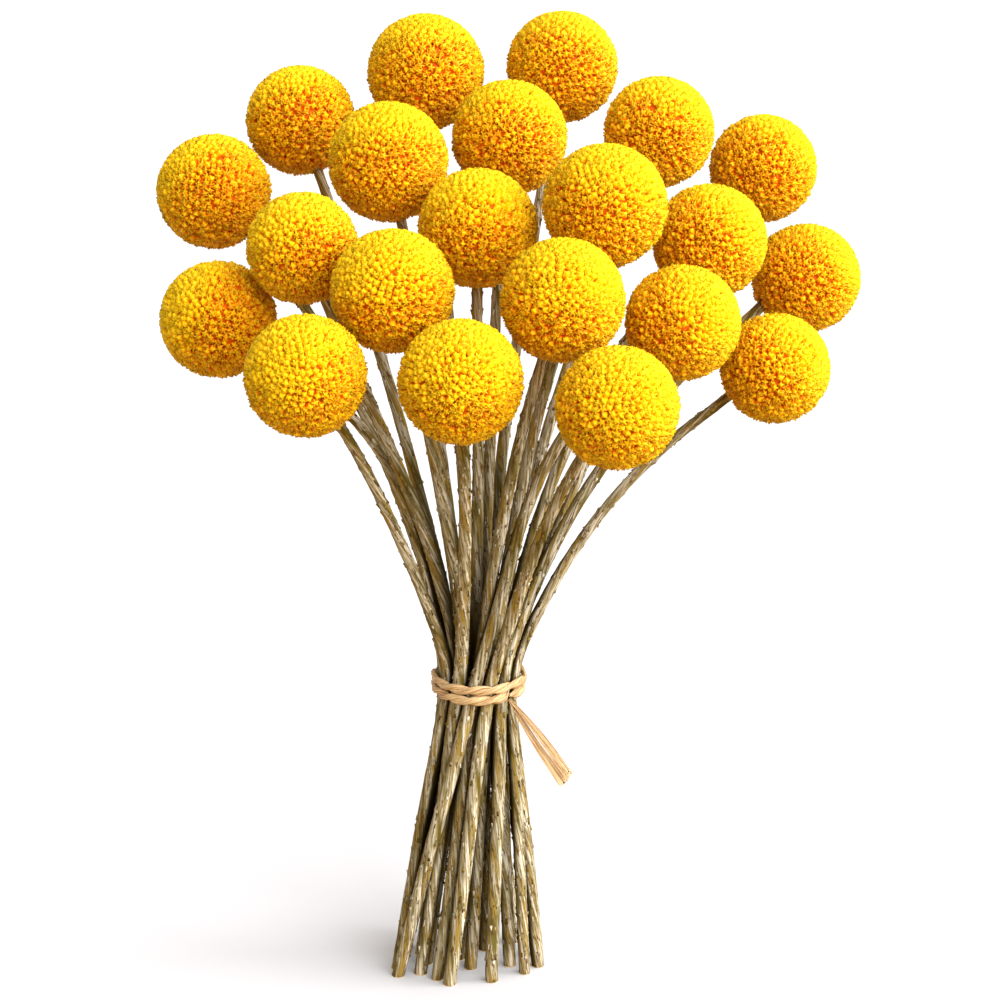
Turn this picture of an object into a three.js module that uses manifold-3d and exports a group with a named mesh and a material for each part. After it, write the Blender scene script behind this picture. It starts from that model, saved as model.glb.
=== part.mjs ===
// A tied bunch of dried billy buttons (Craspedia): globe flower heads on bare woolly stems, gathered in a
// spiral, bound with two turns of raffia, and standing on their level cut ends.
// Millimetres, +Z up, +X to the right and +Y to the back. Z is zero on the surface that the bunch stands on.

import * as THREE from 'three';
import { ConvexHull } from 'three/addons/math/ConvexHull.js';
import { mergeVertices } from 'three/addons/utils/BufferGeometryUtils.js';
import Module from 'manifold-3d';

// ---------------------------------------------------------------- driving dimensions

// Each button: how far right, back and up the middle of its head is, and the head's diameter over its florets.
// Some stems are slimmer or stouter than most (girth), or lean out more at the neck (opening) or at the head
// (bow). A few were laid across the spiral as the bunch was gathered: at angles of their own in the neck and in
// the stance, with the foot as far out as the others or nearer or further (reach).
const BUTTONS = {
  back_left: [
    { right: -77, back: 33, up: 206, across: 30.5, bow: 1 },
    { right: -55, back: 53, up: 220, across: 29.5, bow: 0.2 },
    { right: -22, back: 57, up: 232, across: 31.5 },
  ],
  back_right: [
    { right: 14, back: 59, up: 233, across: 30 },
    { right: 39, back: 37, up: 221, across: 29.5, laid: { foot: 6 } },
    { right: 67, back: 49, up: 208, across: 29, laid: { foot: -15 } },
  ],
  crown: [
    { right: -31, back: 14, up: 219, across: 31.5 },
    { right: 0, back: 27, up: 222, across: 30.5 },
    { right: 24, back: -14, up: 215, across: 32, laid: { foot: -86 }, reach: 0.42 },
    { right: 77, back: 21, up: 186, across: 29, bow: 1.2, laid: { neck: -34, foot: -70 } },
    { right: -52, back: -14, up: 204, across: 29, bow: 0.2 },
    { right: -29, back: -35, up: 199, across: 31.5 },
    { right: -8, back: -6, up: 207, across: 31 },
    { right: 13, back: -43, up: 199, across: 31.5, laid: { foot: -117 } },
    { right: 51, back: 3, up: 201, across: 30, bow: 1.1 },
  ],
  front: [
    { right: -74, back: -6, up: 183, across: 30.5, girth: 0.9, bow: 1.9 },
    { right: -50, back: -54, up: 183, across: 31, girth: 0.9, opening: 0.85, laid: { neck: 190 } },
    { right: -12, back: -59, up: 183, across: 31.5, girth: 1.05 },
    { right: 26, back: -67, up: 179, across: 31 },
    { right: 43, back: -32, up: 190, across: 29.5, bow: 1.5, laid: { neck: -94, foot: -145 }, reach: 1.15 },
    { right: 67, back: -19, up: 174, across: 28.5, girth: 0.86, bow: 0.9, laid: { neck: -10, foot: -38 } },
  ],
};

const SPREAD = { right: 78, back: 62 };             // half the reach of the middles of the heads
const TIE = { x: -8.2, y: 3, z: 81, reach: 8.5 };   // the neck, and how far out its outermost stems' middles are
const STANCE = { x: -11.0, y: 5, right: 19.4, back: 15.4 };
const TWIST_ABOVE = THREE.MathUtils.degToRad(6);    // the spiral: every stem leans the same way round the neck
const TWIST_BELOW = THREE.MathUtils.degToRad(25);
const STRAIGHT_ON = 0.3;                            // how far a stem keeps its lean through the neck
const OPENING = 0.55;                               // and its lean towards its head there, of the average
const BOW = 0.5;                                    // how much more it leans out at its head than on average

const STEM_FOOT_R = 1.68;
const STEM_TOP_R = 1.2;
const STEM_TALL = 235;
const BELLY = { more: 0.16, below: 130 };           // a stem is thickest a little above its foot
const STEM_SIDES = 6;
const RING_EVERY = 13;
const STEM_CLEARANCE = 0.32;
const WANDER = { far: 0.4, right: 17, back: 23, apart: 2.4 };  // how a stem strays from a fair curve

const FLORETS = 89;
const FLORET_DEPTH = 0.075;                       // of the head's radius
const HEAD_TURN = 1.9;                            // radians from each head to the next, so no two look alike
const FUNNEL = { sides: 8, r: 0.16, depth: 0.22, rim: 0.97 };  // the hollow under a head that takes the stem
const FUNNEL_MARGIN = 0.02;                       // between its rim and the lowest floret
const STEM_END = 0.925;                           // where the stem ends, from the middle of the head

const CORD = { thick: 0.72, tall: 1.25, ply: 0.15, lumps: 12, gap: 0.3, pitch: 3.0, sides: 8, steps: 48 };
const CORD_TUCK = 0.85;                           // the size of a turn's end, which tucks under its start
const CROSSING = { at: 0.38, within: 0.06, over: 1.3 };  // where the turns cross, and how far out one rides
const TAILS = { angle: -42, forward: 0.2, root: 0.9, wide: 2.6, thick: 0.7, steps: 5 };
const TAIL_LEANS = [{ lean: 33, long: 27 }, { lean: 43, long: 26 }];

const YELLOW = 0xf6b90a;
const STRAW = 0xa8966c;
const RAFFIA = 0xdfae72;

const wasm = await Module();
wasm.setup();

const buttons = Object.values(BUTTONS).flat();

// ---------------------------------------------------------------- where the stems run

const LEVEL = 4;
const SETTLING_PASSES = 400;
const LAST_PASSES = 12;

const neck = new THREE.Vector2(TIE.x, TIE.y);
const stance = new THREE.Vector2(STANCE.x, STANCE.y);

const NECK_UP = TIE.z + CORD.pitch;

function stemRadius(i, up) {
  const belly = BELLY.more * Math.sin(Math.PI * Math.min(up / BELLY.below, 1));
  const tapered = THREE.MathUtils.lerp(STEM_FOOT_R, STEM_TOP_R, (up / STEM_TALL) ** 2);
  return (buttons[i].girth ?? 1) * (tapered + belly);
}

const levelsOf = (i) => Math.floor(buttons[i].up / LEVEL);
const heightAt = (i, k) => (k * buttons[i].up) / levelsOf(i);
const towards = (degrees) => {
  const angle = THREE.MathUtils.degToRad(degrees);
  return new THREE.Vector2(Math.cos(angle), Math.sin(angle));
};

// A stem's path if it were alone, as its places at even heights. It runs straight through the neck and bends
// out to its head. Its places in the neck and in the stance follow its head's place in the dome, turned by the
// spiral, except where it was laid across the others.
function ownPath(button, i) {
  const { laid = {}, reach = 1, opening: share = OPENING, bow = BOW } = button;
  const spread = new THREE.Vector2(button.right / SPREAD.right, button.back / SPREAD.back);
  const twisted = (by) => spread.clone().rotateAround(new THREE.Vector2(), -by);
  const inNeck = 'neck' in laid ? towards(laid.neck) : twisted(TWIST_ABOVE);
  const inStance = 'foot' in laid ? towards(laid.foot).multiplyScalar(reach) : twisted(TWIST_ABOVE + TWIST_BELOW);
  const foot = new THREE.Vector2(STANCE.right, STANCE.back).multiply(inStance).add(stance);
  const gathered = inNeck.clone().multiplyScalar(TIE.reach).add(neck);
  const head = new THREE.Vector2(button.right, button.back);
  const opening = gathered.clone().sub(foot).multiplyScalar((STRAIGHT_ON * (button.up - NECK_UP)) / NECK_UP);
  opening.add(head.clone().sub(gathered).multiplyScalar(share));
  const outwards = head.clone().sub(gathered).multiplyScalar(1 + bow);
  const above = new THREE.CubicBezierCurve(
    gathered,
    gathered.clone().addScaledVector(opening, 1 / 3),
    head.clone().addScaledVector(outwards, -1 / 3),
    head,
  );
  const path = [];
  for (let k = 0; k <= levelsOf(i); k++) {
    const up = heightAt(i, k);
    const place = up < NECK_UP
      ? foot.clone().lerp(gathered, up / NECK_UP)
      : above.getPoint((up - NECK_UP) / (button.up - NECK_UP));
    const stray = new THREE.Vector2(
      Math.cos(up / WANDER.right + i * WANDER.apart),
      Math.sin(up / WANDER.back + 2 * i * WANDER.apart),
    );
    path.push(place.addScaledVector(stray, WANDER.far * Math.sin((Math.PI * up) / button.up)));
  }
  return path;
}

// A path's place at any height, between its levels.
function placeAt(i, path, up) {
  const k = (up / buttons[i].up) * (path.length - 1);
  const low = Math.min(Math.floor(k), path.length - 2);
  return path[low].clone().lerp(path[low + 1], k - low);
}

// How much wider a stem's level section is where it leans.
function leaning(i, path, up) {
  const low = placeAt(i, path, Math.max(up - LEVEL, 0));
  const high = placeAt(i, path, Math.min(up + LEVEL, buttons[i].up));
  return Math.hypot(1, high.distanceTo(low) / (2 * LEVEL));
}

// Stems can't share a place. Where two come too close both give way, and the bend spreads along each of them,
// but never at the head. In the neck the tie holds them all within its reach.
function settle(own) {
  const now = own.map((path) => path.map((place) => place.clone()));
  for (let pass = 0; pass < SETTLING_PASSES; pass++) {
    now.forEach((path, i) => path.slice(0, -1).forEach((place, k) => {
      const up = heightAt(i, k);
      now.forEach((other, j) => {
        if (j === i || up > buttons[j].up) return;
        const apart = place.clone().sub(placeAt(j, other, up));
        if (apart.length() > 3 * STEM_FOOT_R) return;
        const lean = Math.max(leaning(i, path, up), leaning(j, other, up));
        const short = (stemRadius(i, up) + stemRadius(j, up) + STEM_CLEARANCE) * lean - apart.length();
        if (short > 0) place.add(apart.setLength(0.5 * short));
      });
      const out = place.clone().sub(neck);
      if (Math.abs(up - TIE.z) < 2 * CORD.pitch && out.length() > TIE.reach) {
        place.sub(out.setLength(0.5 * (out.length() - TIE.reach)));
      }
    }));
    if (pass >= SETTLING_PASSES - LAST_PASSES) continue;
    now.forEach((path, i) => {
      const bend = path.map((place, k) => place.clone().sub(own[i][k]));
      path.slice(0, -1).forEach((place, k) => {
        const around = bend[Math.max(k - 1, 0)].clone().add(bend[k + 1]).multiplyScalar(0.5);
        place.copy(own[i][k]).add(bend[k].clone().lerp(around, 0.5));
      });
    });
  }
  return now;
}

// Each stem's middle line, on which the height grows evenly from its foot to the middle of its head.
const curves = settle(buttons.map(ownPath)).map((path, i) => {
  const points = path.map((place, k) => new THREE.Vector3(place.x, place.y, heightAt(i, k)));
  return new THREE.CatmullRomCurve3(points, false, 'catmullrom', 0.5);
});

// ---------------------------------------------------------------- stems

const middleOf = (button) => new THREE.Vector3(button.right, button.back, button.up);

// How far along its curve a stem ends, just inside the hollow under its head.
function endOf(button, curve) {
  let low = 0.5;
  let high = 1;
  for (let n = 0; n < 30; n++) {
    const t = (low + high) / 2;
    if (curve.getPoint(t).distanceTo(middleOf(button)) > STEM_END * (button.across / 2)) low = t;
    else high = t;
  }
  return low;
}

// The rings of each stem, between which it is straight: their middles and the stem's direction there. The foot is
// cut level, so that the bunch stands on it.
const rings = curves.map((curve, i) => {
  const count = Math.round(buttons[i].up / RING_EVERY);
  const end = endOf(buttons[i], curve);
  return Array.from({ length: count + 1 }, (_, k) => ({
    middle: curve.getPoint((end * k) / count),
    along: k === 0 ? new THREE.Vector3(0, 0, 1) : curve.getTangent((end * k) / count),
  }));
});

// A tapered cylinder bent through the stem's rings.
function stem(i) {
  const geometry = new THREE.CylinderGeometry(1, 1, 1, STEM_SIDES, rings[i].length - 1);
  const place = geometry.getAttribute('position');
  const v = new THREE.Vector3();
  for (let n = 0; n < place.count; n++) {
    v.fromBufferAttribute(place, n);
    const { middle, along } = rings[i][Math.round((v.y + 0.5) * (rings[i].length - 1))];
    const side = new THREE.Vector3(1, 0, 0).addScaledVector(along, -along.x).normalize();
    const front = side.clone().cross(along);
    const r = stemRadius(i, middle.z);
    const point = middle.clone().addScaledVector(side, r * v.x).addScaledVector(front, r * v.z);
    place.setXYZ(n, point.x, point.y, point.z);
  }
  geometry.computeVertexNormals();
  return geometry;
}

// ---------------------------------------------------------------- heads

// A globe of florets of radius 1, packed in the golden spiral from its crown at +Z down to the hollow at -Z that
// takes the stem. Each floret is a peak in a cell whose corners lie deep between it and its neighbours.
function globe() {
  const reach = new Map();
  const golden = Math.PI * (3 - Math.sqrt(5));
  const rimUp = -Math.sqrt(1 - FUNNEL.r ** 2);
  for (let n = 0; n < FLORETS; n++) {
    const up = 1 - ((n + 0.5) / FLORETS) * (1 - rimUp - FUNNEL_MARGIN);
    const out = Math.sqrt(1 - up * up);
    reach.set(new THREE.Vector3(out * Math.cos(n * golden), out * Math.sin(n * golden), up), 1);
  }
  for (let n = 0; n < FUNNEL.sides; n++) {
    const angle = (n * 2 * Math.PI) / FUNNEL.sides;
    reach.set(new THREE.Vector3(FUNNEL.r * Math.cos(angle), FUNNEL.r * Math.sin(angle), rimUp), FUNNEL.rim);
  }
  const pole = new THREE.Vector3(0, 0, -1);
  reach.set(pole, 1 - FUNNEL.depth);

  const hull = new ConvexHull().setFromPoints([...reach.keys()]);
  const isFunnel = (face) => [0, 1, 2].some((n) => face.getEdge(n).head().point === pole);
  const raised = (point) => point.clone().multiplyScalar(reach.get(point));
  const pit = new Map(hull.faces.map((face) => {
    const corners = [0, 1, 2].map((n) => face.getEdge(n).head().point);
    const middle = corners[0].clone().add(corners[1]).add(corners[2]);
    return [face, middle.setLength(1 - FLORET_DEPTH)];
  }));
  const places = [];
  for (const face of hull.faces) {
    const edges = [0, 1, 2].map((n) => face.getEdge(n));
    if (isFunnel(face)) {
      places.push(...edges.map((edge) => raised(edge.head().point)));
      continue;
    }
    for (const edge of edges) {
      const from = edge.tail().point;
      const across = edge.twin.face;
      if (isFunnel(across)) places.push(raised(from), raised(edge.head().point), pit.get(face));
      else places.push(raised(from), pit.get(across), pit.get(face));
    }
  }
  return new THREE.BufferGeometry().setFromPoints(places);
}

const unitGlobe = globe();

function head(button, i) {
  const middle = middleOf(button);
  const axis = middle.clone().sub(rings[i].at(-1).middle).normalize();
  const geometry = unitGlobe.clone();
  geometry.rotateZ(i * HEAD_TURN);
  geometry.scale(button.across / 2, button.across / 2, button.across / 2);
  geometry.computeVertexNormals();
  const mesh = new THREE.Mesh(geometry);
  mesh.position.copy(middle);
  mesh.quaternion.setFromUnitVectors(new THREE.Vector3(0, 0, 1), axis);
  return mesh;
}

// ---------------------------------------------------------------- the raffia tie

// How far the bunch reaches from the middle of the neck towards an angle, over the height of a cord.
function bunchReach(angle, about) {
  const outwards = new THREE.Vector3(Math.cos(angle), Math.sin(angle), 0);
  const middle = new THREE.Vector3(neck.x, neck.y, 0);
  return Math.max(...[about - CORD.tall, about, about + CORD.tall].flatMap((up) => rings.map((line, i) => {
    const k = line.findIndex((ring) => ring.middle.z > up);
    const low = line[k - 1].middle;
    const along = line[k].middle.clone().sub(low);
    const place = low.clone().addScaledVector(along, (up - low.z) / along.z);
    return place.sub(middle).dot(outwards) + (stemRadius(i, up) * along.length()) / along.z;
  })));
}

// One turn of two-ply cord, pulled tight round the bunch: a bent cylinder whose section twists as it goes. Both
// turns start and end where the tails come out. Behind the bunch one climbs and the other drops, across it.
function turn(climbs) {
  const geometry = new THREE.CylinderGeometry(1, 1, 1, CORD.sides, CORD.steps);
  const place = geometry.getAttribute('position');
  const lap = 1 + 1 / CORD.steps;
  const v = new THREE.Vector3();
  for (let n = 0; n < place.count; n++) {
    v.fromBufferAttribute(place, n);
    const along = v.y + 0.5;
    const angle = THREE.MathUtils.degToRad(TAILS.angle) + along * lap * 2 * Math.PI;
    const section = Math.atan2(v.z, v.x);
    const swell = 1 + CORD.ply * Math.cos(2 * section - CORD.lumps * angle);
    const size = Math.hypot(v.x, v.z) * swell * (along === 1 ? CORD_TUCK : 1);
    const { at, within, over } = CROSSING;
    const crossed = THREE.MathUtils.smoothstep(along, at - within, at + within);
    const up = TIE.z + (climbs ? crossed - 0.5 : 0.5 - crossed) * CORD.pitch;
    const riding = climbs ? 0 : over * 4 * crossed * (1 - crossed);
    const out = bunchReach(angle, up) + CORD.gap + CORD.thick * (1 + CORD.ply) + riding;
    const far = out + CORD.thick * size * Math.cos(section);
    place.setXYZ(
      n,
      neck.x + far * Math.cos(angle),
      neck.y + far * Math.sin(angle),
      up + CORD.tall * size * Math.sin(section),
    );
  }
  return geometry;
}

// An untwisted end of the raffia: a flat ribbon that widens to its cut end.
function tail({ lean, long }) {
  const angle = THREE.MathUtils.degToRad(TAILS.angle);
  const up = TIE.z - CORD.pitch / 2;
  const out = bunchReach(angle, up) + CORD.gap + CORD.thick;
  const root = new THREE.Vector3(neck.x + out * Math.cos(angle), neck.y + out * Math.sin(angle), up);
  const slope = THREE.MathUtils.degToRad(lean);
  const along = new THREE.Vector3(Math.sin(slope), -TAILS.forward, -Math.cos(slope)).normalize();
  const across = new THREE.Vector3(0, 1, 0).cross(along).normalize();
  const flat = along.clone().cross(across);
  const geometry = new THREE.BoxGeometry(1, 1, 1, 1, 1, TAILS.steps);
  const place = geometry.getAttribute('position');
  const v = new THREE.Vector3();
  for (let n = 0; n < place.count; n++) {
    v.fromBufferAttribute(place, n);
    const share = v.z + 0.5;
    const point = root.clone().addScaledVector(along, share * long);
    point.addScaledVector(across, v.x * THREE.MathUtils.lerp(TAILS.root, TAILS.wide, share));
    point.addScaledVector(flat, v.y * TAILS.thick);
    place.setXYZ(n, point.x, point.y, point.z);
  }
  return geometry;
}

// The closed surface of a geometry as a manifold-3d solid.
function solid(geometry) {
  const bare = new THREE.BufferGeometry();
  bare.setAttribute('position', geometry.getAttribute('position'));
  if (geometry.index) bare.setIndex(geometry.index);
  const merged = mergeVertices(bare, 1e-4);
  return new wasm.Manifold(new wasm.Mesh({
    numProp: 3,
    vertProperties: new Float32Array(merged.getAttribute('position').array),
    triVerts: new Uint32Array(merged.index.array),
  }));
}

function raffiaTie() {
  const pieces = [turn(true), turn(false), ...TAIL_LEANS.map(tail)].map(solid);
  const fused = pieces.reduce((all, piece) => all.add(piece)).getMesh();
  const geometry = new THREE.BufferGeometry();
  geometry.setAttribute('position', new THREE.BufferAttribute(new Float32Array(fused.vertProperties), 3));
  geometry.setIndex(new THREE.BufferAttribute(new Uint32Array(fused.triVerts), 1));
  geometry.computeVertexNormals();
  return geometry;
}

// ---------------------------------------------------------------- the bunch

const yellow = new THREE.MeshStandardMaterial({ color: YELLOW, roughness: 0.85, metalness: 0 });
const straw = new THREE.MeshStandardMaterial({ color: STRAW, roughness: 0.9, metalness: 0 });
const raffia = new THREE.MeshStandardMaterial({ color: RAFFIA, roughness: 0.6, metalness: 0 });

const bunch = new THREE.Group();
buttons.forEach((button, i) => {
  const number = String(i + 1).padStart(2, '0');
  const stemMesh = new THREE.Mesh(stem(i), straw);
  stemMesh.name = `stem_${number}`;
  const headMesh = head(button, i);
  headMesh.material = yellow;
  headMesh.name = `head_${number}`;
  bunch.add(stemMesh, headMesh);
});
const tie = new THREE.Mesh(raffiaTie(), raffia);
tie.name = 'raffia_tie';
bunch.add(tie);

// The origin is on the surface, below the middle of the bunch's box.
const box = new THREE.Box3().setFromObject(bunch, true);
const middle = box.getCenter(new THREE.Vector3());
const root = new THREE.Group();
bunch.position.set(-middle.x, -middle.y, 0);
root.add(bunch);

export default root;
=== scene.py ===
"""A tied bunch of dried billy buttons: globe heads of packed florets on bare felted stems, bound with raffia.

Metres, +Z up. Everything is made round the solids of the frame: the stems follow their middle lines, the
heads fill their globes, and the raffia is wound round the stems where the frame's tie is.
"""

import math

import bpy
import numpy as np
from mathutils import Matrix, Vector, noise


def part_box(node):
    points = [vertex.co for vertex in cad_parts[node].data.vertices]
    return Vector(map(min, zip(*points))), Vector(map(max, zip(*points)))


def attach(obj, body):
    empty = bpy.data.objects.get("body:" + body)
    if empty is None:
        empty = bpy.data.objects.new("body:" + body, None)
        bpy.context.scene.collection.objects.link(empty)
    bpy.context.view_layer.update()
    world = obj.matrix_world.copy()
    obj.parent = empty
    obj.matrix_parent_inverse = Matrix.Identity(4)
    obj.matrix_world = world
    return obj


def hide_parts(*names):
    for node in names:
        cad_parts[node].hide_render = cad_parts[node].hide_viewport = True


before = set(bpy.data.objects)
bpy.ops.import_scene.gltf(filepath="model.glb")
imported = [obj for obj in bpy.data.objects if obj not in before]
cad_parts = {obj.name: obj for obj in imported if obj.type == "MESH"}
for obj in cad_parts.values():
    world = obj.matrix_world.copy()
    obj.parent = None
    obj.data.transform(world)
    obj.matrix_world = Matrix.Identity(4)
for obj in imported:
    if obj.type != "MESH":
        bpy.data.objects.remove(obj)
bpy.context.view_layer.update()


# ---------------------------------------------------------------- camera
# A long lens looks a little down on the bunch from in front, so that its dome of heads shows and its stems
# hardly narrow towards the feet.

MM = 0.001

CAMERA_ELEVATION = math.radians(19)
CAMERA_DISTANCE = 1.2
CAMERA_LENS = 166.3
CAMERA_AIM = Vector((-2.0, 7.0, 131.4)) * MM

camera_data = bpy.data.cameras.new("camera")
camera_data.lens = CAMERA_LENS
camera = bpy.data.objects.new("camera", camera_data)
bpy.context.scene.collection.objects.link(camera)
towards_camera = Vector((0, -math.cos(CAMERA_ELEVATION), math.sin(CAMERA_ELEVATION)))
camera.location = CAMERA_AIM + towards_camera * CAMERA_DISTANCE
camera.rotation_euler = (math.pi / 2 - CAMERA_ELEVATION, 0, 0)
bpy.context.scene.camera = camera


# ---------------------------------------------------------------- floor and light
# A pale matt floor under a broad studio light from above and a narrower one low at the right, with a soft
# fill from the right in front. The walls are pale above and warm tan below, and meet a little under it.

FLOOR_SIZE = 14.0
FLOOR_FINISH = {
    "Base Color": (0.61, 0.62, 0.655, 1),
    "Roughness": 0.9,
    "Specular IOR Level": 0.1,
    "Emission Color": (1, 1, 1, 1),
    "Emission Strength": 0.05,
}
WALL_ABOVE = (0.64, 0.58, 0.50, 1)
WALL_BELOW = (0.80, 0.52, 0.22, 1)
WALLS_MEET = (-0.45, 0.05)
LIGHTS = {
    "top_light": {"from": (0.36, -0.10, 0.93), "strength": 2.15, "spread": math.radians(80)},
    "side_light": {"from": (0.86, -0.10, 0.33), "strength": 2.6, "spread": math.radians(36)},
    "front_light": {"from": (0.50, -0.74, 0.45), "strength": 2.65, "spread": math.radians(50)},
}

bpy.context.scene.view_settings.view_transform = "Standard"


def shader_of(name):
    """A new material, its node tree and the Principled shader in it."""
    material = bpy.data.materials.new(name)
    material.use_nodes = True
    return material, material.node_tree, material.node_tree.nodes["Principled BSDF"]


def set_finish(shader, values):
    """Sets what is the same all over a material."""
    for socket, value in values.items():
        shader.inputs[socket].default_value = value


def mesh_object(name, corners, faces, *materials):
    """A smooth mesh object in the scene, with its first material on every face."""
    mesh = bpy.data.meshes.new(name)
    mesh.from_pydata(np.asarray(corners).tolist(), [], faces)
    for material in materials:
        mesh.materials.append(material)
    mesh.shade_smooth()
    made = bpy.data.objects.new(name, mesh)
    bpy.context.scene.collection.objects.link(made)
    return made


floor_paint, _, shader = shader_of("floor_paint")
set_finish(shader, FLOOR_FINISH)
half = FLOOR_SIZE / 2
floor = mesh_object("floor", [(-half, -half, 0), (half, -half, 0), (half, half, 0), (-half, half, 0)],
                    [(0, 1, 2, 3)], floor_paint)
floor.visible_diffuse = False

studio = bpy.data.worlds.new("studio")
studio.use_nodes = True
nodes, links = studio.node_tree.nodes, studio.node_tree.links
direction = nodes.new("ShaderNodeTexCoord")
height = nodes.new("ShaderNodeSeparateXYZ")
wall = nodes.new("ShaderNodeMapRange")
wall.interpolation_type = "SMOOTHSTEP"
wall.inputs["From Min"].default_value, wall.inputs["From Max"].default_value = WALLS_MEET
walls = nodes.new("ShaderNodeValToRGB")
walls.color_ramp.elements[0].color = WALL_BELOW
walls.color_ramp.elements[1].color = WALL_ABOVE
links.new(direction.outputs["Generated"], height.inputs[0])
links.new(height.outputs["Z"], wall.inputs["Value"])
links.new(wall.outputs[0], walls.inputs["Fac"])
links.new(walls.outputs["Color"], nodes["Background"].inputs["Color"])
bpy.context.scene.world = studio

for light_name, light in LIGHTS.items():
    light_data = bpy.data.lights.new(light_name, "SUN")
    light_data.energy = light["strength"]
    light_data.angle = light["spread"]
    lamp = bpy.data.objects.new(light_name, light_data)
    lamp.rotation_euler = Vector(light["from"]).to_track_quat("Z", "Y").to_euler()
    bpy.context.scene.collection.objects.link(lamp)


# ---------------------------------------------------------------- stems
# Each stem is one bare round stalk, with a pith core under a dry woolly skin that has gone grey and peels in
# flakes off the ochre bark. It was cut level, to stand on, and ends inside its head. A few outer stems have
# bleached all round. Painted shade darkens the skin between stems and on the side turned from the light.

# A stem's solid is sliced level for its middle line, from just over its foot to just under its slanting top.
SLICE_EVERY = 2.5 * MM
FIRST_SLICE = 0.2 * MM
SLICED_BELOW_TOP = 3 * MM
TOP_SLICES = 4
TOP_CORNERS = 0.1 * MM
SOLID_SIDES = 6

STEM_RING = 1.6 * MM
STEM_SMOOTHING = 12
STEM_SIDES = 18
STEM_INTO_HEAD = 1.6 * MM
STEM_SEED = 100
FOOT_BEVEL = 0.22 * MM

# The skin swells slowly and has ridges along it. Its grain starts at a chance place and twists a little.
SKIN_SWELL = {"by": 0.05, "round": 0.8, "along": 0.12}
SKIN_RIDGES = {"by": 0.09, "round": 2.9, "along": 0.3}
GRAIN_LENGTH = 500
GRAIN_TWIST = 0.09

# Painted shade darkens the skin between neighbouring stems, and on the side turned from the light.
SHADE_BETWEEN_STEMS = {"strength": 2.4, "fades": 1.2}
BLEACHED = ("stem_11", "stem_18", "stem_19", "stem_20")
OWN_TONES = (0.0, 0.25)
# The light falls from this side, and painted shade grows on the side turned from it.
LIGHT_SIDE = (0.85, -0.45, 0.25)
SIDE_SHADE = 0.74

# A flake is a thin wedge of skin, held at its root and free at its tip. None is near the foot or the head.
FLAKES = 200
FLAKE_FACES = [(0, 1, 4, 5), (3, 2, 1, 0), (5, 4, 2, 3), (0, 5, 3), (1, 2, 4)]
RINGS_WITHOUT_FLAKES = 3
FLAKE_ROOT = 0.97
FLAKE_GRAIN = 1.6
FLAKE_TONE_AND_SHADE = 0.5
FLAKE_LONG = (0.9 * MM, 2.2 * MM)
FLAKE_WIDE = (0.12 * MM, 0.30 * MM)
FLAKE_LIFT = (0.12 * MM, 0.48 * MM)

FELT_PALE = (0.79, 0.735, 0.60, 1)
FELT_GREY = (0.30, 0.25, 0.11, 1)
BARK_OCHRE = (0.31, 0.21, 0.045, 1)
# Olive is the bark's own colour in patches, and painted shade on the side turned from the light.
OLIVE_BARK_AND_SHADE = (0.118, 0.094, 0.015, 1)
# Dark in the cracks, and painted shadow in the rims round the streaks.
CRACK_AND_RIM_SHADOW_BROWN = (0.12, 0.065, 0.014, 1)
# Painted shade between the stems.
PAINTED_SHADE_BROWN = (0.030, 0.019, 0.003, 1)
PITH = (0.84, 0.72, 0.46, 1)
WOOL_FINISH = {"Roughness": 0.95, "Specular IOR Level": 0.05}
PITH_FINISH = {"Roughness": 0.95}

# The patterns of the skin. Their grain is how often they change in a millimetre, twice across the stem and
# once along it. Each shows over a part of its range. Its lift is how high it stands, and how sharply.
FIBRES = {"grain": (2.2, 2.2, 0.11), "detail": 3, "shows": (0.36, 0.62), "lift": (0.11 * MM, 0.8)}
PATCHES = {"grain": (0.55, 0.55, 0.06), "detail": 2, "shows": (0.43, 0.70)}
STREAKS = {
    "grain": (1.2, 1.2, 0.08), "detail": 2, "wavy": 0.4, "shows": (0.53, 0.63), "lift": (-0.20 * MM, 0.9),
    # The rims are partly painted shadow along the skin's edge.
    "shadow_rim_in": (0.51, 0.54), "shadow_rim_out": (0.54, 0.58),
}
LOOSE_FLAKES = {"grain": (1.3, 1.3, 0.09), "lift": (0.14 * MM, 0.9)}
STRAYING = {"grain": (1.6, 1.6, 0.5), "detail": 2, "by": (1.0, 1.0, 0.3)}
PEELING = {"grain": (1.0, 1.0, 0.15), "detail": 1, "shows": (0.48, 0.62)}
CRACKS = {"wide": (0.10, 0.0), "lift": (-0.12 * MM, 0.6)}
# Where the painted shade between stems comes in.
SHADE_BETWEEN_SHOWS = (0.50, 0.92)
PORES = {"grain": (3.0, 3.0, 3.0), "detail": 3, "shows": (0.2, 0.6)}

stem_names = sorted(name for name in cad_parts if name.startswith("stem_"))


def read(elements, key, width, kind=np.float64):
    """One property of all the vertices or edges of a mesh, as an array with a row for each."""
    values = np.empty(len(elements) * width, dtype=kind)
    elements.foreach_get(key, values)
    return values.reshape(-1, width)


def unit(vectors):
    """The same vectors, each of length 1."""
    return vectors / np.linalg.norm(vectors, axis=-1, keepdims=True)


def section(low, high, up):
    """The middle and the area of a solid's level section, from its edges, which run between low and high."""
    crossing = (low[:, 2] - up) * (high[:, 2] - up) < 0
    a, b = low[crossing], high[crossing]
    ring = a + (b - a) * ((up - a[:, 2]) / (b[:, 2] - a[:, 2]))[:, None]
    rough = ring[:, :2].mean(axis=0)
    across = ring[:, :2] - rough
    x, y = across[np.argsort(np.arctan2(across[:, 1], across[:, 0]))].T
    next_x, next_y = np.roll(x, -1), np.roll(y, -1)
    wedge = x * next_y - next_x * y
    area = wedge.sum() / 2
    middle = rough + np.array([((x + next_x) * wedge).sum(), ((y + next_y) * wedge).sum()]) / (6 * area)
    return np.array([*middle, up]), area


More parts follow.
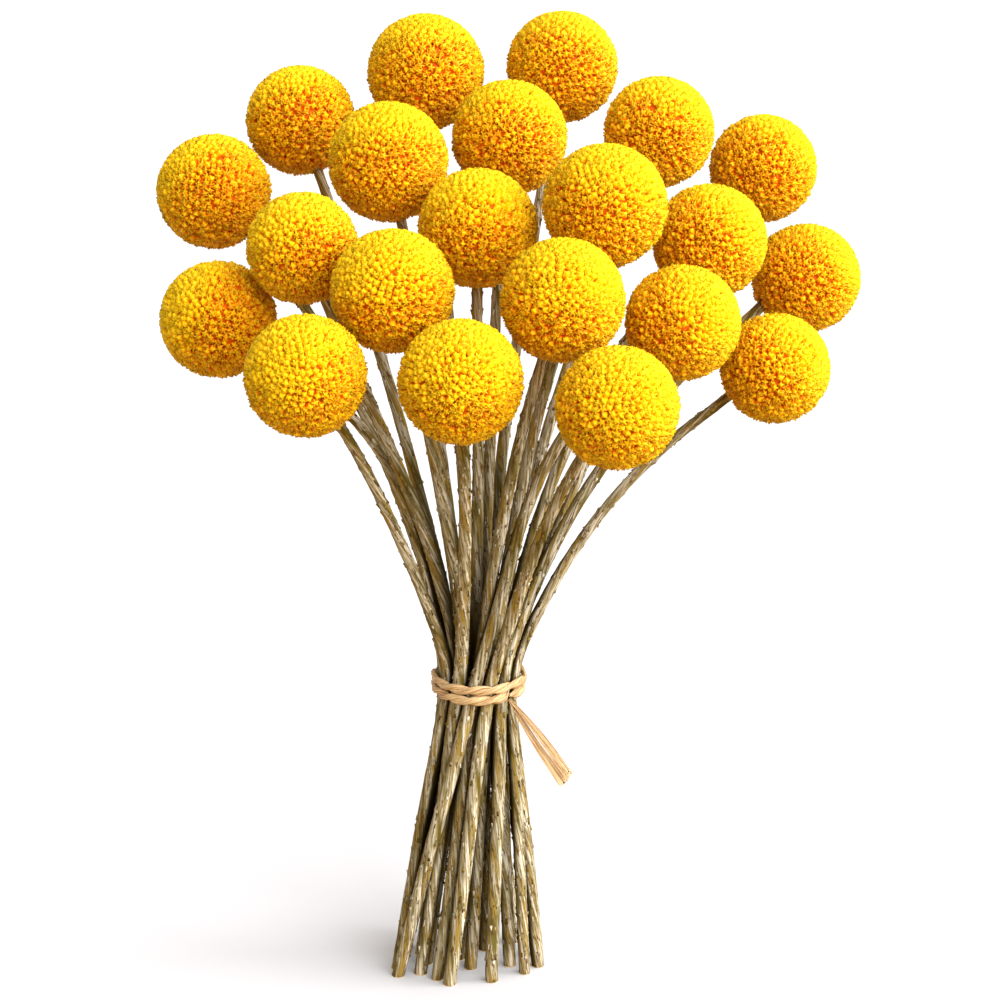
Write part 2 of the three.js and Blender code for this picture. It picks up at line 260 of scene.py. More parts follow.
def evenly(line, step):
    """The places at even steps along a line, and how far along it they are as shares of its points."""
    travelled = np.insert(np.cumsum(np.linalg.norm(np.diff(line, axis=0), axis=1)), 0, 0)
    even = np.linspace(0, travelled[-1], round(travelled[-1] / step) + 1)
    places = np.column_stack([np.interp(even, travelled, line[:, k]) for k in range(3)])
    return places, np.interp(even, travelled, np.arange(len(line)))


def smooth(line, passes):
    """Draws each place of a line towards its neighbours, and leaves its two ends."""
    for _ in range(passes):
        line[1:-1] = (line[:-2] + 2 * line[1:-1] + line[2:]) / 4


def middle_line(node):
    """A stem's middles from foot to head, at even steps along it, and its radius at each."""
    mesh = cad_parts[node].data
    corners = read(mesh.vertices, "co", 3)
    edges = read(mesh.edges, "vertices", 2, np.int32)
    low, high = corners[edges[:, 0]], corners[edges[:, 1]]
    levels = np.arange(FIRST_SLICE, corners[:, 2].max() - SLICED_BELOW_TOP, SLICE_EVERY)
    middles, areas = zip(*[section(low, high, up) for up in levels])
    middles = np.array(middles)
    upright = unit(np.gradient(middles, axis=0))[:, 2]
    area_at_one = SOLID_SIDES / 2 * math.sin(2 * math.pi / SOLID_SIDES)
    radii = np.sqrt(np.array(areas) * upright / area_at_one)

    axis = unit(middles[-1] - middles[-TOP_SLICES])
    along = corners @ axis
    end = corners[along > along.max() - TOP_CORNERS].mean(axis=0) + axis * STEM_INTO_HEAD
    foot = middles[0] * (1, 1, 0)
    line, share = evenly(np.vstack([foot, middles[1:], end]), STEM_RING)
    smooth(line, STEM_SMOOTHING)
    return line, np.interp(share, np.arange(len(radii)), radii)


def frames_along(line, side=(1.0, 0, 0)):
    """The direction, and two sides square to it that don't spin, at each place of a line."""
    along = unit(np.gradient(line, axis=0))
    sides = []
    for direction in along:
        side = unit(side - direction * (side @ direction))
        sides.append(side)
    return along, np.array(sides), np.cross(along, sides)


def tube_faces(rings, sides, start=0):
    """The faces of a closed tube: quads between its rings of corners, and one flat face at each end."""
    faces = [tuple(start + n for n in reversed(range(sides)))]
    for k in range(rings - 1):
        low, high = start + k * sides, start + (k + 1) * sides
        faces += [(low + n, low + (n + 1) % sides, high + (n + 1) % sides, high + n) for n in range(sides)]
    faces.append(tuple(start + n for n in range((rings - 1) * sides, rings * sides)))
    return faces


def store(made, name, places):
    """Keeps a vector for each vertex, for the material to read."""
    kept = made.data.attributes.new(name, "FLOAT_VECTOR", "POINT")
    kept.data.foreach_set("vector", np.asarray(places, dtype=np.float32).ravel())


def attribute(tree, name, scale=(1, 1, 1)):
    """The stored vector in a material, scaled."""
    source = tree.nodes.new("ShaderNodeAttribute")
    source.attribute_name = name
    scaled = tree.nodes.new("ShaderNodeVectorMath")
    scaled.operation = "MULTIPLY"
    scaled.inputs[1].default_value = scale
    tree.links.new(source.outputs["Vector"], scaled.inputs[0])
    return scaled.outputs[0]


def pattern(tree, kept, form, output="Fac"):
    """A noise in the grain and detail of one of the patterns, from 0 to 1."""
    texture = tree.nodes.new("ShaderNodeTexNoise")
    texture.inputs["Scale"].default_value = 1.0
    texture.inputs["Detail"].default_value = form["detail"]
    texture.inputs["Distortion"].default_value = form.get("wavy", 0.0)
    tree.links.new(attribute(tree, kept, form["grain"]), texture.inputs["Vector"])
    return texture.outputs[output]


def cells_in(tree, vector, feature, output):
    """A pattern of cells over a vector: their own colours, or how far it is to their edges."""
    texture = tree.nodes.new("ShaderNodeTexVoronoi")
    texture.feature = feature
    texture.inputs["Scale"].default_value = 1.0
    tree.links.new(vector, texture.inputs["Vector"])
    return texture.outputs[output]


def between(tree, value, low, high):
    """A value stretched so that low becomes 0 and high becomes 1."""
    ranged = tree.nodes.new("ShaderNodeMapRange")
    ranged.interpolation_type = "SMOOTHSTEP"
    ranged.inputs["From Min"].default_value = low
    ranged.inputs["From Max"].default_value = high
    tree.links.new(value, ranged.inputs["Value"])
    return ranged.outputs[0]


def blend(tree, share, first, second):
    """One colour going over into another as a share grows. Each is a colour or another node's output."""
    mixed = tree.nodes.new("ShaderNodeMix")
    mixed.data_type = "RGBA"
    tree.links.new(share, mixed.inputs["Factor"])
    for socket, colour in (("A", first), ("B", second)):
        target = next(s for s in mixed.inputs if s.name == socket and s.type == "RGBA")
        if isinstance(colour, tuple):
            target.default_value = colour
        else:
            tree.links.new(colour, target)
    return next(s for s in mixed.outputs if s.type == "RGBA")


def relief(tree, shader, height, distance, strength):
    """A bump on a shader, after any bump that it has."""
    bump = tree.nodes.new("ShaderNodeBump")
    bump.inputs["Strength"].default_value = strength
    bump.inputs["Distance"].default_value = distance
    tree.links.new(height, bump.inputs["Height"])
    if shader.inputs["Normal"].links:
        tree.links.new(shader.inputs["Normal"].links[0].from_socket, bump.inputs["Normal"])
    tree.links.new(bump.outputs[0], shader.inputs["Normal"])


def reckon(tree, operation, first, second):
    """The outcome of one sum on two values."""
    sum_node = tree.nodes.new("ShaderNodeMath")
    sum_node.operation = operation
    tree.links.new(first, sum_node.inputs[0])
    tree.links.new(second, sum_node.inputs[1])
    return sum_node.outputs[0]


woolly_skin, tree, shader = shader_of("woolly_skin")
fibres = pattern(tree, "skin", FIBRES)
streaks = pattern(tree, "skin", STREAKS)
patches = pattern(tree, "skin", PATCHES)

# The skin comes loose in long flakes with straying outlines, each at its own height. Where it peels, it has
# cracked open along those outlines.
strayed = tree.nodes.new("ShaderNodeVectorMath")
strayed.operation = "MULTIPLY_ADD"
strayed.inputs[1].default_value = STRAYING["by"]
tree.links.new(pattern(tree, "skin", STRAYING, "Color"), strayed.inputs[0])
tree.links.new(attribute(tree, "skin", LOOSE_FLAKES["grain"]), strayed.inputs[2])
loose = tree.nodes.new("ShaderNodeSeparateColor")
tree.links.new(cells_in(tree, strayed.outputs[0], "F1", "Color"), loose.inputs[0])
to_outline = cells_in(tree, strayed.outputs[0], "DISTANCE_TO_EDGE", "Distance")
peeling = between(tree, pattern(tree, "skin", PEELING), *PEELING["shows"])
cracks = reckon(tree, "MULTIPLY", between(tree, to_outline, *CRACKS["wide"]), peeling)

# A thin brown rim runs round each bare streak, partly painted shadow of the skin's lifted edge. Painted
# shade turns the skin dark brown between stems, and olive on the side turned from the light.
shadow_rim_in = between(tree, streaks, *STREAKS["shadow_rim_in"])
shadow_rim_out = between(tree, streaks, *STREAKS["shadow_rim_out"])
shadow_rims = reckon(tree, "SUBTRACT", shadow_rim_in, shadow_rim_out)
shade_and_tone = tree.nodes.new("ShaderNodeSeparateXYZ")
tree.links.new(attribute(tree, "shade_and_tone"), shade_and_tone.inputs[0])
shaded_between = between(tree, shade_and_tone.outputs["X"], *SHADE_BETWEEN_SHOWS)
side_shaded = shade_and_tone.outputs["Y"]
skin_colour = blend(tree, between(tree, fibres, *FIBRES["shows"]), FELT_GREY, FELT_PALE)
skin_colour = blend(tree, between(tree, patches, *PATCHES["shows"]), skin_colour, OLIVE_BARK_AND_SHADE)
skin_colour = blend(tree, side_shaded, skin_colour, OLIVE_BARK_AND_SHADE)
skin_colour = blend(tree, between(tree, streaks, *STREAKS["shows"]), skin_colour, BARK_OCHRE)
# Painted shadow along each streak's rim, and the cracks' own dark.
skin_colour = blend(tree, shadow_rims, skin_colour, CRACK_AND_RIM_SHADOW_BROWN)
skin_colour = blend(tree, cracks, skin_colour, CRACK_AND_RIM_SHADOW_BROWN)
skin_colour = blend(tree, shaded_between, skin_colour, PAINTED_SHADE_BROWN)
tree.links.new(skin_colour, shader.inputs["Base Color"])
relief(tree, shader, loose.outputs["Red"], *LOOSE_FLAKES["lift"])
relief(tree, shader, streaks, *STREAKS["lift"])
relief(tree, shader, cracks, *CRACKS["lift"])
relief(tree, shader, fibres, *FIBRES["lift"])
set_finish(shader, WOOL_FINISH)

cut_pith, tree, shader = shader_of("cut_pith")
pores = pattern(tree, "skin", PORES)
pith_colour = blend(tree, between(tree, pores, *PORES["shows"]), BARK_OCHRE, PITH)
tree.links.new(pith_colour, shader.inputs["Base Color"])
set_finish(shader, PITH_FINISH)

stem_lines = {name: middle_line(name) for name in stem_names}


def painted_shade_of(places, facing, own):
    """How much painted shade the other stems throw on each place of a stem's skin, which faces that way, from
    0 to 1.
    """
    closed = np.zeros(len(places))
    for name, (line, radii) in stem_lines.items():
        if name == own:
            continue
        there = [np.interp(places[:, 2], line[:, 2], line[:, k]) for k in (0, 1)]
        towards = np.column_stack(there) - places[:, :2]
        apart = np.linalg.norm(towards, axis=1)
        ahead = np.maximum((towards * facing[:, :2]).sum(axis=1) / apart, 0)
        closed += ahead * np.minimum(radii.mean() / apart, 1) ** SHADE_BETWEEN_STEMS["fades"]
    return 1 - np.exp(-SHADE_BETWEEN_STEMS["strength"] * closed)


for index, name in enumerate(stem_names):
    line, radii = stem_lines[name]
    along, side, front = frames_along(line)
    random = np.random.default_rng(STEM_SEED + index)
    start = random.uniform(0, GRAIN_LENGTH)
    rings = [0, *range(len(line))]  # the foot has two, for its worn edge
    corners, skin, facings = [], [], []
    for k, m in enumerate(rings):
        up = start + m * STEM_RING / MM
        for n in range(STEM_SIDES):
            angle = 2 * math.pi * n / STEM_SIDES
            across = Vector((math.cos(angle), math.sin(angle), 0))
            uneven = [form["by"] * noise.noise(across * form["round"] + Vector((0, 0, up * form["along"])))
                      for form in (SKIN_SWELL, SKIN_RIDGES)]
            radius = radii[m] * (1 + sum(uneven)) - (FOOT_BEVEL if k == 0 else 0)
            out = side[m] * across.x + front[m] * across.y
            corner = line[m] + out * radius
            if m == 0:
                corner += along[0] * (k * FOOT_BEVEL - corner[2]) / along[0][2]
            corners.append(corner)
            facings.append(out)
            turned = angle + GRAIN_TWIST * up
            skin.append((math.cos(turned) * radius / MM, math.sin(turned) * radius / MM, up))
    faces = tube_faces(len(rings), STEM_SIDES)
    for _ in range(FLAKES):
        k = int(random.integers(RINGS_WITHOUT_FLAKES, len(line) - RINGS_WITHOUT_FLAKES - 1))
        angle = random.uniform(0, 2 * math.pi)
        out = side[k] * math.cos(angle) + front[k] * math.sin(angle)
        root = line[k] + out * radii[k] * FLAKE_ROOT
        free = root + along[k] * random.uniform(*FLAKE_LONG) * random.choice((-1, 1))
        lifted = free + out * random.uniform(*FLAKE_LIFT)
        wide = np.cross(along[k], out) * random.uniform(*FLAKE_WIDE)
        faces += [tuple(len(corners) + c for c in face) for face in FLAKE_FACES]
        flake = [root - wide, root + wide, free + wide, free - wide, lifted + wide, lifted - wide]
        turned = angle + GRAIN_TWIST * start
        up = start + k * STEM_RING / MM
        corners += flake
        skin += [(math.cos(turned) * FLAKE_GRAIN, math.sin(turned) * FLAKE_GRAIN, up)] * len(flake)
        facings += [out] * len(flake)
    stem = mesh_object(f"skin_{name}", corners, faces, woolly_skin, cut_pith)
    for face in range(STEM_SIDES + 1):  # the cut end, and the worn edge round it
        stem.data.polygons[face].material_index = 1
    store(stem, "skin", skin)
    # Painted shade from the neighbouring stems, and on the side turned from the light, over each stem's own
    # tone.
    shade_between = painted_shade_of(np.array(corners), np.array(facings), name)
    own_tone = 0 if name in BLEACHED else random.uniform(*OWN_TONES)
    turned_from_light = 0.5 - np.array(facings) @ unit(np.array(LIGHT_SIDE)) / 2
    tone_and_side_shade = np.minimum(own_tone + SIDE_SHADE * turned_from_light**2, 1)
    # The flakes take part of the tone and of the painted side shade.
    tone_and_side_shade[len(rings) * STEM_SIDES:] *= FLAKE_TONE_AND_SHADE
    store(stem, "shade_and_tone", np.column_stack([shade_between, tone_and_side_shade, tone_and_side_shade]))
    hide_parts(name)
    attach(stem, "root")


# ---------------------------------------------------------------- flower heads
# Each head is a globe of hundreds of tiny dry flowers, grown on a small core at the end of its stem and
# crowded together in no clear rows. At the crown most are shut buds. Further down they have opened into five
# short lobes round a hollow mouth. Their colour carries painted shade: oranger down the head and into every
# crease, and brown at the roots.

# The flowers are wider than their spacing, at the crown and at the skirt, so that they press together. They
# are uneven, stray, lean and sink by chance, less at the crown, and each is set in by a share of its depth.
FLOWER_SPACING = 1.92 * MM
FLOWER_DEEP = 1.65 * MM
FLOWER_SIZES = (0.86, 1.14)
FLOWER_WIDE = (1.14, 1.04)
FLOWER_UNEVEN = 0.045
FLOWER_STRAYS = 0.24
FLOWER_LEAN = 0.16
FLOWER_SUNK = 0.20 * MM
FLOWER_SEAT = 0.05
CROWN_LOOSE = 0.4
SETTLING_STEPS = 8
SETTLING_PUSH = 0.25
CORE_STEPS = 9
# The core is tinted as deep as the roots, so it takes their painted shade.
CORE_SHADE_TINT = (1.3, 0.5, 0.5)
BARE_BELOW = -0.985

BEAD = 0.60 * MM
BEAD_LIFT = (0.22 * MM, 0.9)
TIP_LEMON = (1.0, 0.69, 0.006, 1)
TIP_GOLD = (1.0, 0.62, 0.004, 1)
# Painted shade down the head: oranger on the skirt and on the underside.
SKIRT_SHADE_GOLD = (1.0, 0.60, 0.003, 1)
UNDERSIDE_SHADE = (1.0, 0.51, 0.004, 1)
# Painted shade at the edges of beads, in the creases and at the roots of the flowers.
BEAD_SHADE_GOLD = (1.0, 0.59, 0.004, 1)
CREASE_SHADE_ORANGE = (1.0, 0.34, 0.002, 1)
ROOT_SHADE_BROWN = (0.86, 0.16, 0.001, 1)
FLORET_FINISH = {"Roughness": 0.42, "Specular IOR Level": 0.15}

# Where each colour comes in: on the way down the head, across a bead, and on the way down a flower.
# Each of these is painted shade.
SKIRT_SHADE_FROM = (0.05, 0.45)
UNDERSIDE_SHADE_FROM = (0.50, 0.95)
BEAD_SHADE_EDGE = (0.50, 0.85)
CREASE_SHADE_FROM = (0.24, 0.56)
ROOT_SHADE_FROM = (0.48, 0.88)
BEAD_ROUND = (0.75, 0.1)

# A flower of width 1 and depth 1, as rings from its root to its top: the reach and depth of its lobes and of
# the creases between them. The last number is the depth of the middle of its top.
FLOWER_KINDS = {
    "bud": (4, [(0.54, 0.42, 0.90, 0.98), (0.49, 0.34, 0.36, 0.58), (0.28, 0.18, 0.06, 0.20)], 0.02),
    "half_open": (5, [(0.54, 0.40, 0.90, 1.0), (0.52, 0.30, 0.28, 0.62), (0.35, 0.15, 0.02, 0.40)], 0.28),
    "open": (5, [(0.54, 0.40, 0.90, 1.0), (0.47, 0.22, 0.04, 0.56)], 0.54),
}
CROWN_SHARES = (0.60, 0.35, 0.05)
SKIRT_SHARES = (0.15, 0.50, 0.35)
# The painted shade in the creases is lighter at the crown by this share.
CROWN_LIGHTER_SHADE = 0.45
OPENS_FROM = 0.12
OPENS_OVER = 0.26

HEXAGONAL = 2 / math.sqrt(3)  # how many more flowers a surface holds in hexagons than in squares

head_names = sorted(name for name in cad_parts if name.startswith("head_"))


def globe_of(node):
    """The middle and the radius of a head's globe, as the sphere that fits its corners best."""
    corners = read(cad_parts[node].data.vertices, "co", 3)
    terms = np.column_stack([2 * corners, np.ones(len(corners))])
    middle = np.linalg.lstsq(terms, (corners**2).sum(axis=1), rcond=None)[0][:3]
    return middle, np.linalg.norm(corners - middle, axis=1).max()


def crowded(count, sizes, random):
    """Directions over a sphere for flowers of these sizes, which have pushed each other out of their rows."""
    n = np.arange(count)
    up = 1 - 2 * (n + 0.5) / count
    out = np.sqrt(1 - up * up)
    turned = n * math.pi * (3 - math.sqrt(5))
    even = np.column_stack([out * np.cos(turned), out * np.sin(turned), up])
    apart = math.sqrt(4 * math.pi * HEXAGONAL / count)
    spots = unit(even + random.normal(0, FLOWER_STRAYS * apart, (count, 3)))
    room = apart * (sizes[:, None] + sizes) / 2
    for _ in range(SETTLING_STEPS):
        gaps = spots[:, None] - spots
        distance = np.sqrt((gaps**2).sum(axis=2)) + np.eye(count)
        push = np.maximum(room / distance - 1, 0) * (1 - np.eye(count))
        spots = unit(spots + SETTLING_PUSH * np.einsum("ij,ijk->ik", push, gaps))
    return spots


def flower(teeth, rings, mouth):
    """One flower's corners as (x, y, depth), and its faces."""
    sides = 2 * teeth
    corners, faces = [], []
    for tooth_reach, notch_reach, tooth_deep, notch_deep in rings:
        for n in range(sides):
            reach, deep = (notch_reach, notch_deep) if n % 2 else (tooth_reach, tooth_deep)
            angle = math.pi * n / teeth
            corners.append((reach * math.cos(angle), reach * math.sin(angle), deep))
    for low in range(0, (len(rings) - 1) * sides, sides):
        faces += [(low + n, low + (n + 1) % sides, low + sides + (n + 1) % sides, low + sides + n)
                  for n in range(sides)]
    top = (len(rings) - 1) * sides
    faces += [(top + n, top + (n + 1) % sides, len(corners)) for n in range(sides)]
    corners.append((0, 0, mouth))
    return np.array(corners), faces


flowers = [flower(*kind) for kind in FLOWER_KINDS.values()]


def core(radius):
    """The core under the flowers, as a plain globe: its corners and faces."""
    sides = 2 * CORE_STEPS
    step = math.pi / CORE_STEPS
    corners = []
    for k in range(1, CORE_STEPS):
        up, out = -math.cos(step * k), math.sin(step * k)
        corners += [(out * math.cos(step * n), out * math.sin(step * n), up) for n in range(sides)]
    return np.array(corners) * radius, tube_faces(CORE_STEPS - 1, sides)


def globe_of_flowers(radius, random):
    """A head about the origin, stem at -Z: corners, faces, and each corner's depth, shade and way down."""
    count = round(4 * math.pi * (radius / FLOWER_SPACING) ** 2 * HEXAGONAL)
    sizes = random.uniform(*FLOWER_SIZES, count)
    corners, faces, tints = [], [], []
    start = 0
    for outward, size in zip(crowded(count, sizes, random), sizes):
        if outward[2] < BARE_BELOW:
            continue
        down = (1 - outward[2]) / 2
        opened = min(max((down - OPENS_FROM) / OPENS_OVER, 0), 1)
        loose = CROWN_LOOSE + (1 - CROWN_LOOSE) * opened
        shares = np.array(CROWN_SHARES) * (1 - opened) + np.array(SKIRT_SHARES) * opened
        shape, shape_faces = flowers[random.choice(len(flowers), p=shares)]
        shape = shape + random.normal(0, FLOWER_UNEVEN * loose, shape.shape)
        axis = unit(outward + random.normal(0, loose * FLOWER_LEAN, 3))
        side = unit(np.cross(axis, random.normal(0, 1, 3)))
        front = np.cross(axis, side)
        wide = FLOWER_SPACING * size * (FLOWER_WIDE[0] * (1 - opened) + FLOWER_WIDE[1] * opened)
        spread = wide * (shape[:, :1] * side + shape[:, 1:2] * front)
        sunk = loose * abs(random.normal(0, FLOWER_SUNK)) + FLOWER_SEAT * FLOWER_DEEP
        corners.append(outward * (radius - sunk) + spread - FLOWER_DEEP * shape[:, 2:] * axis)
        faces += [tuple(start + c for c in face) for face in shape_faces]
        # How deep each corner's painted crease shade is, lighter at the crown.
        deep = shape[:, 2] * (1 - CROWN_LIGHTER_SHADE * (1 - opened))
        tints.append(np.column_stack([deep, np.full((len(shape), 2), (random.uniform(), down))]))
        start += len(shape)
    core_corners, core_faces = core(radius - FLOWER_DEEP)
    faces += [tuple(start + c for c in face) for face in core_faces]
    tints.append(np.tile(CORE_SHADE_TINT, (len(core_corners), 1)))
    return np.vstack([*corners, core_corners]), faces, np.vstack(tints)


dry_florets, tree, shader = shader_of("dry_florets")
parts = tree.nodes.new("ShaderNodeSeparateXYZ")
tree.links.new(attribute(tree, "tint"), parts.inputs[0])
deep, shade, down = parts.outputs["X"], parts.outputs["Y"], parts.outputs["Z"]
grain = tree.nodes.new("ShaderNodeTexCoord")
scaled = tree.nodes.new("ShaderNodeVectorMath")
scaled.operation = "SCALE"
scaled.inputs["Scale"].default_value = 1 / BEAD
tree.links.new(grain.outputs["Object"], scaled.inputs[0])
bead = cells_in(tree, scaled.outputs[0], "F1", "Distance")
floret_colour = blend(tree, shade, TIP_LEMON, TIP_GOLD)
# Painted shade down the head, oranger on the skirt and the underside.
floret_colour = blend(tree, between(tree, down, *SKIRT_SHADE_FROM), floret_colour, SKIRT_SHADE_GOLD)
floret_colour = blend(tree, between(tree, down, *UNDERSIDE_SHADE_FROM), floret_colour, UNDERSIDE_SHADE)
# Painted shade at the edges of beads, in the creases and at the roots.
floret_colour = blend(tree, between(tree, bead, *BEAD_SHADE_EDGE), floret_colour, BEAD_SHADE_GOLD)
floret_colour = blend(tree, between(tree, deep, *CREASE_SHADE_FROM), floret_colour, CREASE_SHADE_ORANGE)
floret_colour = blend(tree, between(tree, deep, *ROOT_SHADE_FROM), floret_colour, ROOT_SHADE_BROWN)
tree.links.new(floret_colour, shader.inputs["Base Color"])
relief(tree, shader, between(tree, bead, *BEAD_ROUND), *BEAD_LIFT)
set_finish(shader, FLORET_FINISH)

for index, name in enumerate(head_names):
    middle, radius = globe_of(name)
    stem_end = stem_lines[name.replace("head", "stem")][0][-1]
    corners, faces, tints = globe_of_flowers(radius, np.random.default_rng(index))
    upright = np.array(Vector(middle - stem_end).to_track_quat("Z", "Y").to_matrix())
    head = mesh_object(f"florets_{name}", corners @ upright.T + middle, faces, dry_florets)
    store(head, "tint", tints)
    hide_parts(name)
    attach(head, "root")


# ---------------------------------------------------------------- raffia tie
# One length of raffia: two strips of split palm leaf, twisted into a cord and wound twice round the neck of
# the bunch. It is pulled tight and tucked under itself at the right, where its untwisted ends hang out as
# flat strips.

# The cord goes round the fullest stems with a small gap, and rises and falls a pitch where its laps cross.
CORD_TALL = 2.9 * MM
CORD_PITCH = 2.8 * MM
CORD_GAP = 0.3 * MM
CORD_REACHES = CORD_TALL / 3
CORD_LAPS = 2
CORD_SMOOTHING = 4
CORD_SUNK = 0.7
CORD_TUCK = {"size": 0.45, "steps": 6}
LAP_STEPS = 330
STEM_FULLEST = 1.04
TIE_ANGLE = math.radians(-42)
CROSSING = {"at": 0.38, "within": 0.06, "over": 1.3 * MM}

# Each ply is a flat lumpy strand with creases between its fibres, and both turn round the cord's middle.
PLIES = 2
PLY = {"thick": 0.52 * MM, "tall": 0.86 * MM, "out": 0.30 * MM, "up": 0.52 * MM}
PLY_SIDES = 14
PLY_STEP = 0.45 * MM
PLY_TURNS = 6
PLY_LUMPS = {"by": 0.14, "round": 1.3, "along": 0.06, "apart": 40}
FIBRES_ROUND = 5
FIBRE_DEEP = 0.09
FIBRE_TWIST = 3
GRAIN_SLANT = 0.6

# The tails lean out by degrees. They are so many millimetres long and wide, and bow and swing aside.
# They untwist by quarter turns, and hang forward by a share of their length.
TAILS = [
    {"lean": 33.5, "long": 26.5, "wide": 2.8, "bow": 0.5, "spin": -0.3, "forward": 0.20, "aside": -0.1},
    {"lean": 40.0, "long": 25.6, "wide": 2.4, "bow": -0.3, "spin": -0.6, "forward": 0.26, "aside": 0.2},
    {"lean": 42.5, "long": 24.6, "wide": 1.3, "bow": -0.7, "spin": 0.2, "forward": 0.32, "aside": 0.3},
]
TAIL_ROOT = {"below": 0.35 * CORD_TALL, "out": 0.1 * MM, "wide": 0.85 * MM}
TAIL_WIDENS = 0.8
TAIL_THICK = 0.12 * MM
TAIL_PLEATS = {"count": 2.5, "deep": 0.10 * MM, "flatter": 0.5}
TAIL_CUPPED = 0.5 * MM
TAIL_FRAY = {"by": 0.9 * MM, "from": 0.9, "across": 9, "apart": 7.3}
TAIL_GRAIN = {"across": 3, "off_cord": 7.0}
TAIL_TURNED = math.radians(-22)
TAIL_STEPS = 44
TAIL_SIDES = 12

RAFFIA_TAN = (0.40, 0.20, 0.060, 1)
RAFFIA_PALE = (0.80, 0.58, 0.31, 1)
RAFFIA_BROWN = (0.26, 0.09, 0.018, 1)
RAFFIA_FINISH = {"Roughness": 0.5, "Specular IOR Level": 0.35}
STRANDS = {"grain": (5.5, 5.5, 0.20), "detail": 3, "shows": (0.36, 0.58), "lift": (0.20 * MM, 0.8)}
BANDS = {"grain": (3.2, 3.2, 0.10), "detail": 2, "shows": (0.55, 0.70)}

tie_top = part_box("raffia_tie")[1].z
tie_up = tie_top - CORD_TALL / 2 - CORD_PITCH / 2


def at_height(line, up):
    """Where a stem's line, with its radius beside it, passes a height."""
    return np.array([np.interp(up, line[:, 2], line[:, k]) for k in (0, 1, 3)])


def bunch_at(up):
    """The stems' middles and radii where they pass a height."""
    return np.array([at_height(np.column_stack([line, radii]), up) for line, radii in stem_lines.values()])


neck = bunch_at(tie_up)[:, :2].mean(axis=0)


def bunch_reach(angle, up):
    """How far the stems reach from the middle of the neck towards an angle, round the height of the cord."""
    outwards = np.array([math.cos(angle), math.sin(angle)])
    reaches = []
    for near in (up - CORD_REACHES, up, up + CORD_REACHES):
        stems = bunch_at(near)
        reaches.append(((stems[:, :2] - neck) @ outwards + stems[:, 2] * STEM_FULLEST).max())
    return max(reaches)


def cord_place(lap):
    """The cord's middle after so many laps. The first lap climbs, and the second drops and passes over it."""
    angle = TIE_ANGLE + lap * 2 * math.pi
    share = min(max((lap % 1 - CROSSING["at"]) / (2 * CROSSING["within"]) + 0.5, 0), 1)
    crossed = share * share * (3 - 2 * share)
    climbs = lap < 1
    up = tie_up + (crossed - 0.5 if climbs else 0.5 - crossed) * CORD_PITCH
    over = 0 if climbs else CROSSING["over"] * 4 * crossed * (1 - crossed)
    out = bunch_reach(angle, up) + CORD_GAP + PLY["thick"] + PLY["out"] * CORD_SUNK + over
    return np.array([neck[0] + out * math.cos(angle), neck[1] + out * math.sin(angle), up])


raffia, tree, shader = shader_of("raffia")
strands = pattern(tree, "fibre", STRANDS)
bands = pattern(tree, "fibre", BANDS)
raffia_colour = blend(tree, between(tree, strands, *STRANDS["shows"]), RAFFIA_TAN, RAFFIA_PALE)
raffia_colour = blend(tree, between(tree, bands, *BANDS["shows"]), raffia_colour, RAFFIA_BROWN)
tree.links.new(raffia_colour, shader.inputs["Base Color"])
relief(tree, shader, strands, *STRANDS["lift"])
set_finish(shader, RAFFIA_FINISH)

laps = np.linspace(0, CORD_LAPS, LAP_STEPS)
route = np.array([cord_place(lap) for lap in laps])
smooth(route, CORD_SMOOTHING)
route, share = evenly(route, PLY_STEP)
lap_at = np.interp(share, np.arange(len(laps)), laps)
along = unit(np.gradient(route, axis=0))
upward = np.tile((0.0, 0, 1), (len(route), 1))
outward = unit(np.cross(along, upward))

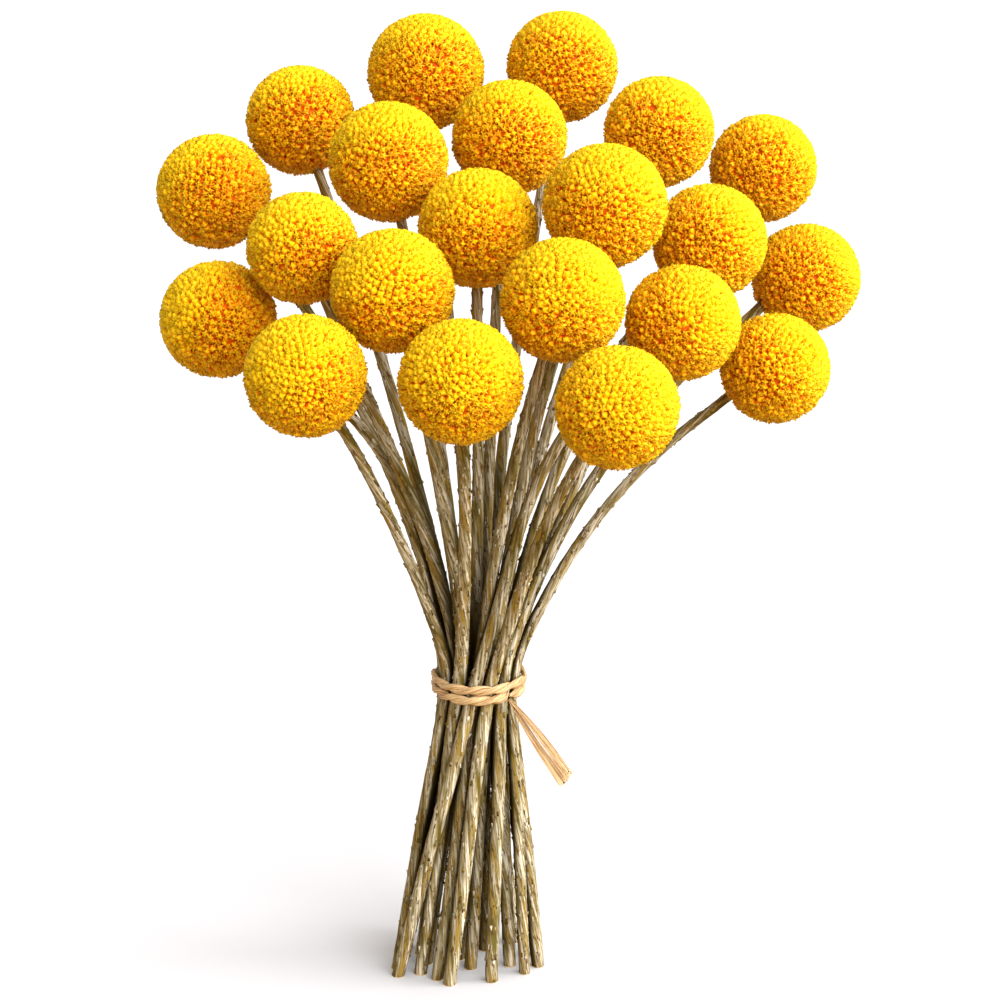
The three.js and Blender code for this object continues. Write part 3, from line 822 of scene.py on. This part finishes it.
corners, faces, fibre = [], [], []
for ply in range(PLIES):
    first = len(corners)
    for k, middle in enumerate(route):
        turned = lap_at[k] * PLY_TURNS * 2 * math.pi + 2 * math.pi * ply / PLIES
        from_end = min(k, len(route) - 1 - k) / CORD_TUCK["steps"]
        tuck = CORD_TUCK["size"] + (1 - CORD_TUCK["size"]) * min(1, from_end)
        outwards = outward[k] * PLY["out"] * math.cos(turned)
        upwards = upward[k] * PLY["up"] * math.sin(turned) * tuck
        ply_middle = middle + outwards + upwards
        for n in range(PLY_SIDES):
            angle = -2 * math.pi * n / PLY_SIDES
            crease = math.cos(FIBRES_ROUND * angle - FIBRE_TWIST * turned)
            across = Vector((math.cos(angle), math.sin(angle), 0))
            further = Vector((0, 0, k * PLY_LUMPS["along"] + ply * PLY_LUMPS["apart"]))
            lump = noise.noise(across * PLY_LUMPS["round"] + further)
            size = tuck * (1 + FIBRE_DEEP * crease + PLY_LUMPS["by"] * lump)
            thick, tall = PLY["thick"] * size * across.x, PLY["tall"] * size * across.y
            corners.append(ply_middle + outward[k] * thick + upward[k] * tall)
            slanted = angle - GRAIN_SLANT * turned
            fibre.append((math.cos(slanted), math.sin(slanted), k * PLY_STEP / MM))
    faces += tube_faces(len(route), PLY_SIDES, first)

for index, tail in enumerate(TAILS):
    lean = math.radians(tail["lean"])
    heading = unit(np.array([math.sin(lean), -tail["forward"], -math.cos(lean)]))
    across = unit(np.cross((0.0, 1, 0), heading))
    facing = np.cross(heading, across)
    root = cord_place(0) - np.array([0, 0, TAIL_ROOT["below"]]) + outward[0] * TAIL_ROOT["out"]
    first = len(corners)
    for k in range(TAIL_STEPS + 1):
        share = k / TAIL_STEPS
        wide = TAIL_ROOT["wide"] + (tail["wide"] * MM - TAIL_ROOT["wide"]) * share**TAIL_WIDENS
        bow = math.sin(math.pi * share) * tail["bow"] * MM
        middle = root + heading * share * tail["long"] * MM + across * (bow + share * tail["aside"] * MM)
        spin = TAIL_TURNED + tail["spin"] * (1 - share) * math.pi / 2
        flat = across * math.cos(spin) + facing * math.sin(spin)
        normal = np.cross(heading, flat)
        for n in range(2 * TAIL_SIDES):
            top = n < TAIL_SIDES
            u = 0.5 - (n if top else 2 * TAIL_SIDES - 1 - n) / (TAIL_SIDES - 1)
            pleat = TAIL_PLEATS["deep"] * math.cos(2 * math.pi * TAIL_PLEATS["count"] * u)
            pleat *= 1 - TAIL_PLEATS["flatter"] * share
            frayed = max(0, share - TAIL_FRAY["from"]) / (1 - TAIL_FRAY["from"])
            torn = noise.noise(Vector((u * TAIL_FRAY["across"], index * TAIL_FRAY["apart"], 0)))
            lift = pleat - TAIL_CUPPED * u * u + (TAIL_THICK / 2 if top else -TAIL_THICK / 2)
            further = TAIL_FRAY["by"] * frayed * torn
            corners.append(middle + flat * u * wide + normal * lift + heading * further)
            fibre.append((u * TAIL_GRAIN["across"] + index, TAIL_GRAIN["off_cord"], share * tail["long"]))
    faces += tube_faces(TAIL_STEPS + 1, 2 * TAIL_SIDES, first)

tie = mesh_object("twisted_raffia", corners, faces, raffia)
store(tie, "fibre", fibre)
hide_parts("raffia_tie")
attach(tie, "root")
